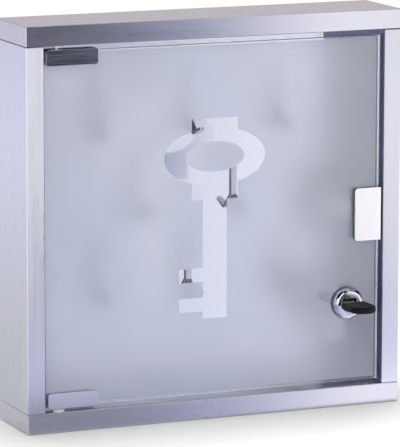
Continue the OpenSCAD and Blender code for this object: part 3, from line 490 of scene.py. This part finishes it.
def hook_tree(material, sizes):
    """A strip that follows a bent path, round at both ends, on every place."""
    tree, given = new_tree("Bent Hook", sizes)
    line = add_node(tree, "GeometryNodeMeshLine", {"Count": 4})
    index = add_node(tree, "GeometryNodeInputIndex")
    turns = add_node(tree, "GeometryNodeIndexSwitch", data_type="VECTOR")
    for _ in range(2):
        turns.index_switch_items.new()
    tree.links.new(index.outputs[0], turns.inputs["Index"])
    for k, label in enumerate(("Shank Top", "Bend", "Low Point", "Tip")):
        tree.links.new(given[label], turns.inputs[k + 1])
    bent = add_node(tree, "GeometryNodeSetPosition", {
        "Geometry": line.outputs[0], "Position": turns.outputs[0]})
    path = add_node(tree, "GeometryNodeMeshToCurve", {"Mesh": bent.outputs[0]})
    path = add_node(tree, "GeometryNodeFilletCurve", {
        "Curve": path.outputs[0], "Count": 10, "Radius": given["Bend Radius"]}, mode="POLY").outputs[0]
    length = add_node(tree, "GeometryNodeCurveLength", {0: path}).outputs[0]

    ribbon = add_node(tree, "GeometryNodeMeshGrid", {
        "Size X": 1.0, "Size Y": 1.0, "Vertices X": 9, "Vertices Y": given["Rows"]})
    at = add_node(tree, "ShaderNodeSeparateXYZ", {0: add_node(tree, "GeometryNodeInputPosition").outputs[0]})
    # Rows lie closer together towards both ends, where the outline is round
    turn = add_node(tree, "ShaderNodeMath", {0: at.outputs["Y"], 1: math.pi}, operation="MULTIPLY")
    wave = add_node(tree, "ShaderNodeMath", {0: turn.outputs[0]}, operation="SINE")
    share = add_node(tree, "ShaderNodeMath", {0: wave.outputs[0], 1: 0.5, 2: 0.5}, operation="MULTIPLY_ADD")
    on_path = add_node(tree, "GeometryNodeSampleCurve", {
        "Curves": path, "Factor": share.outputs[0]}, mode="FACTOR", use_all_curves=True)
    size = add_node(tree, "ShaderNodeMath", {0: wave.outputs[0]}, operation="ABSOLUTE")
    to_end = add_node(tree, "ShaderNodeMath", {0: 1.0, 1: size.outputs[0]}, operation="SUBTRACT")
    from_end = add_node(tree, "ShaderNodeMath", {0: to_end.outputs[0], 1: length}, operation="MULTIPLY")
    in_radii = add_node(tree, "ShaderNodeMath", {
        0: from_end.outputs[0], 1: given["Width"]}, operation="DIVIDE")
    inward = add_node(tree, "ShaderNodeMath", {
        0: 1.0, 1: in_radii.outputs[0]}, operation="SUBTRACT", use_clamp=True)
    square = add_node(tree, "ShaderNodeMath", {0: inward.outputs[0], 1: 2.0}, operation="POWER")
    rest = add_node(tree, "ShaderNodeMath", {0: 1.0001, 1: square.outputs[0]}, operation="SUBTRACT")
    narrow = add_node(tree, "ShaderNodeMath", {0: rest.outputs[0]}, operation="SQRT")
    wide = add_node(tree, "ShaderNodeMath", {0: at.outputs["X"], 1: given["Width"]}, operation="MULTIPLY")
    across = add_node(tree, "ShaderNodeMath", {
        0: wide.outputs[0], 1: narrow.outputs[0]}, operation="MULTIPLY")
    shift = add_node(tree, "ShaderNodeCombineXYZ", {"X": across.outputs[0]})
    spot = add_node(tree, "ShaderNodeVectorMath", {
        0: on_path.outputs["Position"], 1: shift.outputs[0]}, operation="ADD")
    strip = add_node(tree, "GeometryNodeSetPosition", {
        "Geometry": ribbon.outputs[0], "Position": spot.outputs[0]})
    placed = add_node(tree, "GeometryNodeInstanceOnPoints", {
        "Points": given["Geometry"], "Instance": strip.outputs[0]})
    close_tree(tree, placed.outputs[0], material)
    return tree


def spring_tree(material, sizes):
    """A closed coil of round wire along Y, on every place."""
    tree, given = new_tree("Coil Spring", sizes)
    helix = add_node(tree, "GeometryNodeCurveSpiral", {
        "Resolution": 24, "Rotations": given["Turns"], "Start Radius": given["Coil Radius"],
        "End Radius": given["Coil Radius"], "Height": given["Length"]})
    wire = add_node(tree, "GeometryNodeCurvePrimitiveCircle", {
        "Resolution": 10, "Radius": given["Wire Radius"]})
    coil = add_node(tree, "GeometryNodeCurveToMesh", {
        "Curve": helix.outputs[0], "Profile Curve": wire.outputs[0], "Fill Caps": True})
    along = add_node(tree, "GeometryNodeTransform", {
        "Geometry": coil.outputs[0], "Rotation": (-math.pi / 2, 0, 0)})
    placed = add_node(tree, "GeometryNodeInstanceOnPoints", {
        "Points": given["Geometry"], "Instance": along.outputs[0]})
    close_tree(tree, placed.outputs[0], material)
    return tree


def bow_mesh(low, high, edge):
    """A moulded paddle: square shoulders at the lock, a round outer end, soft edges, crowned faces."""
    middle = (low + high) / 2
    half_w, half_t = (high.x - low.x) / 2, (high.z - low.z) / 2
    outer, shoulder = half_w * 0.9, 0.0016

    def corner(centre, radius, start):
        return [centre + radius * Vector((math.cos(a), math.sin(a)))
                for a in (math.radians(start + 90 * k / 10) for k in range(11))]

    outline = (
        corner(Vector((middle.x + half_w - shoulder, high.y - shoulder)), shoulder, 0)
        + corner(Vector((middle.x - half_w + shoulder, high.y - shoulder)), shoulder, 90)
        + corner(Vector((middle.x - half_w + outer, low.y + outer)), outer, 180)
        + corner(Vector((middle.x + half_w - outer, low.y + outer)), outer, 270))
    count = len(outline)
    outward = []
    for k in range(count):
        step = outline[(k + 1) % count] - outline[k - 1]
        outward.append(Vector((step.y, -step.x)).normalized())
    vertices, faces = [], []
    # Heights and insets up the rounded side, in steps of 15 degrees, and down again
    profile = [(-half_t + edge * (1 - math.cos(turn)), edge * (1 - math.sin(turn)))
               for turn in (math.radians(15 * k) for k in range(7))]
    profile += [(-z, inset) for z, inset in reversed(profile)]
    for z, inset in profile:
        vertices += [(*(outline[k] - outward[k] * inset), middle.z + z) for k in range(count)]
    rings = len(profile)
    for r in range(rings - 1):
        for k in range(count):
            n = (k + 1) % count
            faces.append((r * count + k, r * count + n, (r + 1) * count + n, (r + 1) * count + k))
    # Both faces close in a few rings, and sink a third of a millimetre in the middle for the thumb
    for ring, sign in ((0, -1), (rings - 1, 1)):
        base = [Vector(v) for v in vertices[ring * count:(ring + 1) * count]]
        last = ring * count
        for share in (0.82, 0.62, 0.4, 0.2):
            start = len(vertices)
            sink = 0.00035 * (1 - share) ** 0.5 if share < 0.8 else 0.0
            for v in base:
                p = middle + (v - middle) * share
                vertices.append((p.x, p.y, v.z - sign * sink))
            for k in range(count):
                n = (k + 1) % count
                quad = (last + k, last + n, start + n, start + k)
                faces.append(quad if sign > 0 else quad[::-1])
            last = start
        cap = tuple(last + k for k in range(count))
        faces.append(cap if sign > 0 else cap[::-1])
    mesh = bpy.data.meshes.new("key_bow")
    mesh.from_pydata(vertices, [], faces)
    work = bmesh.new()
    work.from_mesh(mesh)
    bmesh.ops.recalc_face_normals(work, faces=work.faces)
    work.to_mesh(mesh)
    work.free()
    smooth_by_angle(mesh, 50)
    return mesh


# Operators

class KEYCAB_OT_case(bpy.types.Operator):
    """Brush the four folded sheet members of the case"""
    bl_idname = "keycab.case"
    bl_label = "Case"

    def execute(self, context):
        steel = context.scene.cabinet_steel
        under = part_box("top_rail")[0].z
        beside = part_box("right_side")[0].x
        # The inner sides of the top rail and the stiles carry painted shade of the fold, at 0.4 and 1.1 of
        # the inner colour
        for name, along, inner, nodes in (
                ("top_rail", "x", ("Z", under, 0.4), ["top_rail"]),
                ("bottom_rail", "x", None, ["bottom_rail"]),
                ("stile", "z", ("X", beside, 1.1), ["left_side", "right_side"])):
            finish_nodes(brushed_stainless("brushed_stainless_" + name, along, steel, inner), *nodes)
        return {"FINISHED"}


class KEYCAB_OT_back_panel(bpy.types.Operator):
    """Polish the back panel, which the window shows"""
    bl_idname = "keycab.back_panel"
    bl_label = "Back Panel"

    def execute(self, context):
        steel = context.scene.cabinet_steel
        finish_nodes(bright_annealed("bright_annealed_stainless", steel.panel_colour), "back_panel")
        return {"FINISHED"}


class KEYCAB_OT_hooks(bpy.types.Operator):
    """Bend the eight hooks from strip, with round ends and true bends"""
    bl_idname = "keycab.hooks"
    bl_label = "Hooks"

    def execute(self, context):
        steel = context.scene.cabinet_steel
        names = [f"hook_{k}" for k in range(1, 9)]
        boxes = [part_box(n) for n in names]
        low, high = boxes[0]
        # A hook's own place is where its shank meets the bend, on the panel
        bend_z = low.z + HOOK_FOOT - HOOK_LOW[2]
        sizes = {
            "Width": high.x - low.x, "Bend Radius": steel.hook_bend, "Rows": 150,
            "Shank Top": (0, -HOOK_STRIP / 2, high.z - bend_z), "Bend": (0, -HOOK_STRIP / 2, 0),
            "Low Point": HOOK_LOW, "Tip": (0, low.y - high.y, -HOOK_TIP_DROP)}
        places = [((a.x + b.x) / 2, b.y, bend_z + a.z - low.z) for a, b in boxes]
        # The hooks' cut sides carry painted shade, 0.04 of the colour
        material = sheared_painted_edges("satin_strip_steel", "#D5D7DD", "X", 1.0, 0.04, 0.28)
        seed = grow("hooks", places, hook_tree(material, sizes), sizes)
        thicken = seed.modifiers.new("strip", "SOLIDIFY")
        thicken.thickness = HOOK_STRIP
        thicken.offset = 0
        soften = seed.modifiers.new("edges", "BEVEL")
        soften.width = 0.00035
        soften.segments = 2
        soften.limit_method = "ANGLE"
        soften.angle_limit = math.radians(50)
        mesh = evaluated_mesh(seed)
        smooth_by_angle(mesh, 40)
        new_piece("bent_hooks", mesh, "case", replaces=names)
        return {"FINISHED"}


class KEYCAB_OT_glass(bpy.types.Operator):
    """Finish the glass pane, its ground edges and the frost with its clear window"""
    bl_idname = "keycab.glass"
    bl_label = "Glass and Frost"

    def execute(self, context):
        door = context.scene.cabinet_door
        finish_nodes(float_glass("float_glass_ground_edge", door.glass_colour), "glass_pane")
        finish_nodes(frosted("frost_film", door.frost_colour, door.frost_clear), "frost_film")
        return {"FINISHED"}


class KEYCAB_OT_clamps(bpy.types.Operator):
    """Finish the two pivot clamps with their liners, plates, screws, pins and bushes"""
    bl_idname = "keycab.clamps"
    bl_label = "Pivot Clamps"

    def execute(self, context):
        door = context.scene.cabinet_door
        satin = satin_plated("satin_chrome_clamp", "#DDE0EA")
        for end in ("top", "bottom"):
            new_piece(f"{end}_clamp_pressed", softened(f"{end}_clamp", door.rim), "door",
                      satin, [f"{end}_clamp"])
        finish_nodes(zinc_plated("zinc_plated_steel"), *(
            f"{end}_{part}" for end in ("top", "bottom")
            for part in ("pressure_plate", "clamp_screws", "pivot_pin")))
        finish_nodes(moulded("soft_grey_liner", "#D8D8D4", 0.55), "top_liner", "bottom_liner")
        finish_nodes(moulded("white_acetal_bush", "#F0F0EE", 0.3), "top_bush", "bottom_bush")
        return {"FINISHED"}


class KEYCAB_OT_strike(bpy.types.Operator):
    """Finish the bright strike plate on the glass's edge, and its adhesive pad"""
    bl_idname = "keycab.strike"
    bl_label = "Strike Plate"

    def execute(self, context):
        door = context.scene.cabinet_door
        # The strike plate's sides carry painted shade, a tenth of the colour
        bright = sheared_painted_edges("bright_nickel_strike", "#D8D8DD", "Y", 0.1, 1.0, 0.18)
        new_piece("strike_plate_pressed", softened("strike_plate", door.rim * 0.6), "door",
                  bright, ["strike_plate"])
        finish_nodes(moulded("acrylic_foam_pad", "#CFCFCC", 0.6), "strike_pad")
        return {"FINISHED"}


class KEYCAB_OT_lock(bpy.types.Operator):
    """Finish the cam lock: chrome bezel, plug, wafers, nut, washer, gasket and cam"""
    bl_idname = "keycab.lock"
    bl_label = "Cam Lock"

    def execute(self, context):
        finish_nodes(plated("chrome_plated_zinc", "#BEC0CD", 0.05), "lock_body")
        finish_nodes(plated("chrome_plated_plug", "#DCDDE2", 0.09), "lock_plug")
        finish_nodes(plated("rolled_brass", "#D9B66A", 0.25, 0.002), "lock_wafers")
        # The gasket's colour is painted pale, much lighter than grey rubber, as painted light against the
        # shade of its recess under the bezel
        finish_nodes(moulded("gasket_painted_pale", "#DADDE8", 0.6), "lock_gasket")
        finish_nodes(moulded("black_nylon", "#1A1A1C", 0.4), "lock_washer")
        finish_nodes(zinc_plated("zinc_plated_lock_parts", "#C4C5CA"), "lock_nut", "cam", "cam_screw")
        return {"FINISHED"}


class KEYCAB_OT_key(bpy.types.Operator):
    """Mould the key's bow and finish its blade"""
    bl_idname = "keycab.key"
    bl_label = "Key"

    def execute(self, context):
        door = context.scene.cabinet_door
        finish_nodes(cut_key_steel("milled_nickel_silver"), "key_blade")
        low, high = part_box("key_bow")
        new_piece("key_bow_moulded", bow_mesh(low, high, door.bow_edge), "key",
                  moulded("glossy_black_abs", "#08080B", 0.5, 0.0006, 1.3), ["key_bow"])
        return {"FINISHED"}


class KEYCAB_OT_latch(bpy.types.Operator):
    """Finish the push latch with its magnet and screws, and wind its spring"""
    bl_idname = "keycab.latch"
    bl_label = "Push Latch"

    def execute(self, context):
        finish_nodes(moulded("grey_white_abs_housing", "#DEDEDD", 0.38), "latch_housing")
        finish_nodes(moulded("light_grey_abs_cap", "#CFCFCE", 0.42), "latch_cap")
        finish_nodes(moulded("white_acetal_plunger", "#F1F1EE", 0.3), "latch_plunger")
        finish_nodes(plated("nickel_plated_magnet", "#A9ABB2", 0.2, 0.002), "latch_magnet")

        low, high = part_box("latch_spring")
        sizes = {"Turns": 10.0, "Coil Radius": (high.x - low.x) / 2 - SPRING_WIRE,
                 "Wire Radius": SPRING_WIRE, "Length": high.y - low.y - 2 * SPRING_WIRE}
        steel = plated("drawn_spring_wire", "#B4B6BB", 0.18, 0.001)
        foot = ((low.x + high.x) / 2, low.y + SPRING_WIRE, (low.z + high.z) / 2)
        seed = grow("spring", [foot], spring_tree(steel, sizes), sizes)
        spring = new_piece("wound_spring", evaluated_mesh(seed), "case",
                           replaces=["latch_spring"])
        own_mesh(spring)

        finish_nodes(zinc_plated("zinc_plated_screw"), "latch_screws")
        return {"FINISHED"}


class KEYCAB_OT_stage(bpy.types.Operator):
    """Set the pale floor, the soft lamps, the reflector cards and the camera"""
    bl_idname = "keycab.stage"
    bl_label = "Studio Stage"

    def execute(self, context):
        stage = context.scene.cabinet_stage
        context.scene.view_settings.view_transform = "Standard"
        self.floor(stage)
        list(self.graded_cards())
        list(self.flags())
        context.scene.world = self.studio()
        self.lamp("front_softbox", (-0.9, -1.6, 1.5), 1.4, stage.key_power)
        self.lamp("top_softbox", (0.25, 0.7, 1.9), 1.6, stage.top_power)
        context.scene.camera = self.camera(stage)
        return {"FINISHED"}

    def floor(self, stage):
        """A white table with a painted glow that grows away from the case, so that its shade at the case's
        foot, part real shadow and part painted, fades outwards.
        """
        floor = self.card("floor", (0, 0, -0.0002), (0, 0, 1), 14, 14)
        material, tree = new_material("white_laminate_table")
        speck = grain(tree, [0.004] * 3, 2.0)
        path = add_node(tree, "ShaderNodeLightPath").outputs
        place = add_node(tree, "ShaderNodeTexCoord").outputs["Object"]
        away = add_node(tree, "ShaderNodeVectorMath", {0: place}, operation="ABSOLUTE")
        past = add_node(tree, "ShaderNodeVectorMath", {
            0: away.outputs[0], 1: (*CASE_FOOT, 0)}, operation="SUBTRACT")
        kept = add_node(tree, "ShaderNodeVectorMath", {0: past.outputs[0], 1: (0, 0, 0)}, operation="MAXIMUM")
        distance = add_node(tree, "ShaderNodeVectorMath", {0: kept.outputs[0]}, operation="LENGTH")
        glow = 0.0
        # Painted light: for camera, mirror and glass rays the table glows more the farther it lies from the
        # case's foot
        for ray, near, far, start, stop in (
                ("Is Camera Ray", 0.08, 0.42, 0.0, 0.1),
                ("Is Glossy Ray", 0.0, 0.45, 0.3, 1.4),
                ("Is Transmission Ray", 0.15, 0.35, 0.3, 1.4)):
            share = between(tree, distance.outputs["Value"], near, far, start, stop)
            glow = add_node(tree, "ShaderNodeMath", {
                0: path[ray], 1: share, 2: glow}, operation="MULTIPLY_ADD").outputs[0]
        # Painted reflection: mirrors see the table's glow tinted blue
        painted_mirror_tint = add_node(tree, "ShaderNodeMixRGB", {
            "Fac": path["Is Glossy Ray"], "Color1": (1.0, 1.0, 1.0), "Color2": (0.95, 0.9, 1.3)})
        surface(tree, Base_Color=tinted(tree, speck, stage.floor_colour, 0.985, 1.0), Roughness=0.8,
                Specular_IOR_Level=0.1, Emission_Color=painted_mirror_tint.outputs[0], Emission_Strength=glow)
        floor.data.materials.append(material)
        return floor

    def graded_cards(self):
        """A card that stands in front and one that lies before it, which the front of the case mirrors."""
        material = self.graded_light()
        wall = self.card("graded_wall", (0.4, CARD_FRONT, 0.6), (0, 1, 0), 3.6, 1.2)
        table = self.card("graded_table", (0.4, -0.681, 0.001), (0, 0, 1), 3.6, 1.298)
        for card in (wall, table):
            card.data.materials.append(material)
            card.visible_camera = card.visible_diffuse = card.visible_shadow = False
        return wall, table

    def graded_light(self):
        """What only the steel and chrome see: a dark band at the left of the view's reflection that
        turns white at the right, with a lighter table near the case."""
        material, tree = new_material("backlit_graded_card")
        place = add_node(tree, "ShaderNodeSeparateXYZ", {
            0: add_node(tree, "ShaderNodeTexCoord").outputs["Object"]}).outputs
        # Every point is traced back to the place along a rail that mirrors it to the front,
        # so that both rails change alike
        slant = add_node(tree, "ShaderNodeMath", {
            0: place["Y"], 1: CARD_SLANT, 2: place["X"]}, operation="MULTIPLY_ADD")
        spread = add_node(tree, "ShaderNodeMath", {
            0: place["Y"], 1: -CARD_SPREAD, 2: 1.0}, operation="MULTIPLY_ADD")
        along = add_node(tree, "ShaderNodeMath", {
            0: slant.outputs[0], 1: spread.outputs[0]}, operation="DIVIDE")
        share = between(tree, along.outputs[0], 0.0, 1.0, -0.4, 0.4)
        ramp = self.ramp(tree, share, [((at + 0.4) / 0.8, code) for at, code in (
            (-0.40, "#FCF9F7"), (-0.285, "#FCF9F7"), (-0.245, "#12141E"), (-0.085, "#20222E"),
            (-0.045, "#5E6178"), (-0.012, "#808298"), (0.021, "#A1A1B0"), (0.054, "#C8C7CB"),
            (0.087, "#EAE8E6"), (0.12, "#FDFAF5"), (0.4, "#FDFAF5"))])
        # The table is paler towards the case, and a little shaded at its foot
        depth = between(tree, place["Y"], 0.0, 1.0, CARD_FRONT, 0.0)
        near = self.ramp(tree, depth, [
            (0.0, "#000000"), (0.2, "#262626"), (0.45, "#5A5A5A"), (0.6, "#969696"), (0.7, "#C4C4C4"),
            (0.77, "#D8D8D8"), (0.85, "#EDEDED"), (0.91, "#C8C8C8"), (0.955, "#AFAFAF")])
        shade = add_node(tree, "ShaderNodeMixRGB", {
            "Fac": near, "Color1": ramp, "Color2": linear("#BCBCCD")})
        # Mirrored rays see the card, also through the clear glass, which they cross four times;
        # those that the frost has scattered see it a little more even, and all others pass it
        path = add_node(tree, "ShaderNodeLightPath").outputs
        frosted_ray = add_node(tree, "ShaderNodeMath", {
            0: path["Transmission Depth"], 1: 4.5}, operation="GREATER_THAN")
        blurred = add_node(tree, "ShaderNodeMath", {
            0: frosted_ray.outputs[0], 1: 0.25}, operation="MULTIPLY")
        even = add_node(tree, "ShaderNodeMixRGB", {
            "Fac": blurred.outputs[0], "Color1": shade.outputs[0], "Color2": linear("#FFFDF3")})
        glow = add_node(tree, "ShaderNodeEmission", {"Color": even.outputs[0], "Strength": CARD_STRENGTH})
        seen = add_node(tree, "ShaderNodeMath", {
            0: path["Is Glossy Ray"], 1: path["Glossy Depth"]}, operation="ADD", use_clamp=True)
        clear = add_node(tree, "ShaderNodeBsdfTransparent")
        mixed = add_node(tree, "ShaderNodeMixShader", {
            0: seen.outputs[0], 1: clear.outputs[0], 2: glow.outputs[0]})
        add_node(tree, "ShaderNodeOutputMaterial", {"Surface": mixed.outputs[0]})
        return material

    def flags(self):
        """Two black flags beside the camera's view, which give the chrome of the lock its dark patches."""
        material, tree = new_material("black_felt_flag")
        felt = grain(tree, [0.002] * 3, 2.0)
        surface(tree, Base_Color=tinted(tree, felt, linear("#0A0A0C"), 0.8, 1.0), Roughness=0.9,
                Specular_IOR_Level=0.0)
        flags = []
        for name, away, width, height in (
                ("left_flag", (-0.49, -0.4, 0.64), 1.05, 0.85),
                ("right_flag", (0.7, -0.44, 0.36), 0.95, 0.46)):
            away = Vector(away)
            flag = self.card(name, LOCK_FACE + away, -away, width, height)
            flag.data.materials.append(material)
            flag.visible_camera = flag.visible_diffuse = False
            flag.visible_shadow = flag.visible_transmission = False
            flags.append(flag)
        return flags

    def studio(self):
        """A world that is white behind the table, and plain grey for light and mirrors."""
        world = bpy.data.worlds.new("studio")
        world.use_nodes = True
        tree = world.node_tree
        tree.nodes.clear()
        path = add_node(tree, "ShaderNodeLightPath").outputs
        glossy = add_node(tree, "ShaderNodeMixRGB", {
            "Fac": path["Is Glossy Ray"], "Color1": (0.6, 0.61, 0.64), "Color2": (0.78, 0.715, 0.7)})
        white = add_node(tree, "ShaderNodeMath", {
            0: path["Is Camera Ray"], 1: path["Is Transmission Ray"]}, operation="MAXIMUM")
        backdrop = add_node(tree, "ShaderNodeMixRGB", {
            "Fac": white.outputs[0], "Color1": glossy.outputs[0], "Color2": (1.0, 1.0, 1.0)})
        sky = add_node(tree, "ShaderNodeBackground", {"Color": backdrop.outputs[0]})
        add_node(tree, "ShaderNodeOutputWorld", {"Surface": sky.outputs[0]})
        return world

    def camera(self, stage):
        """The camera of the photo, which looks from the left and from above."""
        camera = bpy.data.objects.new("camera", bpy.data.cameras.new("camera"))
        bpy.context.scene.collection.objects.link(camera)
        camera.data.lens = stage.lens
        camera.data.sensor_width = 36
        camera.data.clip_end = 50
        yaw, pitch, roll = (math.radians(angle) for angle in VIEW_ANGLES)
        ahead = Vector((
            math.sin(yaw) * math.cos(pitch), math.cos(yaw) * math.cos(pitch), -math.sin(pitch)))
        camera.location = VIEW_CENTRE - ahead * stage.distance
        camera.rotation_mode = "QUATERNION"
        camera.rotation_quaternion = ahead.to_track_quat("-Z", "Y") @ Quaternion((0, 0, 1), roll)
        return camera

    def card(self, name, centre, facing, width, height):
        """A flat sheet round a point, turned to face a direction."""
        mesh = bpy.data.meshes.new(name)
        turn = Vector(facing).to_track_quat("Z", "Y")
        corners = [turn @ Vector((x * width / 2, y * height / 2, 0)) + Vector(centre)
                   for x, y in ((-1, -1), (1, -1), (1, 1), (-1, 1))]
        mesh.from_pydata([tuple(c) for c in corners], [], [(0, 1, 2, 3)])
        card = bpy.data.objects.new(name, mesh)
        bpy.context.scene.collection.objects.link(card)
        return card

    def ramp(self, tree, share, stops):
        """The colours of the stops, each an sRGB hex value at a share from 0 to 1."""
        ramp = add_node(tree, "ShaderNodeValToRGB", {"Fac": share})
        elements = ramp.color_ramp.elements
        elements[0].position, elements[-1].position = 0, 1
        while len(elements) < len(stops):
            elements.new(0.5)
        for element, (at, code) in zip(elements, stops):
            element.position = at
            element.color = (*linear(code), 1)
        return ramp.outputs[0]

    def lamp(self, name, place, size, power):
        """A square soft lamp that shines on the cabinet and that no metal mirrors."""
        light = bpy.data.lights.new(name, "AREA")
        light.size = size
        light.energy = power
        lamp = bpy.data.objects.new(name, light)
        bpy.context.scene.collection.objects.link(lamp)
        lamp.location = place
        lamp.rotation_mode = "QUATERNION"
        lamp.rotation_quaternion = (LAMP_TARGET - Vector(place)).to_track_quat("-Z", "Y")
        lamp.visible_glossy = False


class KEYCAB_PT_pieces(bpy.types.Panel):
    """Lists the cabinet's pieces in the order in which they are dressed"""
    bl_idname = "KEYCAB_PT_pieces"
    bl_label = "Key Cabinet"
    bl_space_type = "VIEW_3D"
    bl_region_type = "UI"
    bl_category = "Key Cabinet"

    def draw(self, context):
        for group in GROUPS:
            settings = getattr(context.scene, group)
            box = self.layout.box()
            for name in settings.bl_rna.properties.keys():
                if name not in ("rna_type", "name"):
                    box.prop(settings, name)
        for operator in OPERATORS:
            self.layout.operator(operator.bl_idname)


GROUPS = {"cabinet_steel": CabinetSteel, "cabinet_door": CabinetDoor, "cabinet_stage": CabinetStage}
OPERATORS = (
    KEYCAB_OT_case, KEYCAB_OT_back_panel, KEYCAB_OT_hooks, KEYCAB_OT_glass, KEYCAB_OT_clamps,
    KEYCAB_OT_strike, KEYCAB_OT_lock, KEYCAB_OT_key, KEYCAB_OT_latch, KEYCAB_OT_stage)


def register():
    for name, group in GROUPS.items():
        bpy.utils.register_class(group)
        setattr(bpy.types.Scene, name, bpy.props.PointerProperty(type=group))
    for made in (*OPERATORS, KEYCAB_PT_pieces):
        bpy.utils.register_class(made)


def unregister():
    for made in (KEYCAB_PT_pieces, *reversed(OPERATORS)):
        bpy.utils.unregister_class(made)
    for name, group in GROUPS.items():
        delattr(bpy.types.Scene, name)
        bpy.utils.unregister_class(group)


def main():
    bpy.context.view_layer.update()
    register()
    for operator in OPERATORS:
        group, name = operator.bl_idname.split(".")
        if getattr(getattr(bpy.ops, group), name)() != {"FINISHED"}:
            raise RuntimeError(f"{operator.bl_label} did not finish")


if __name__ == "__main__":
    main()
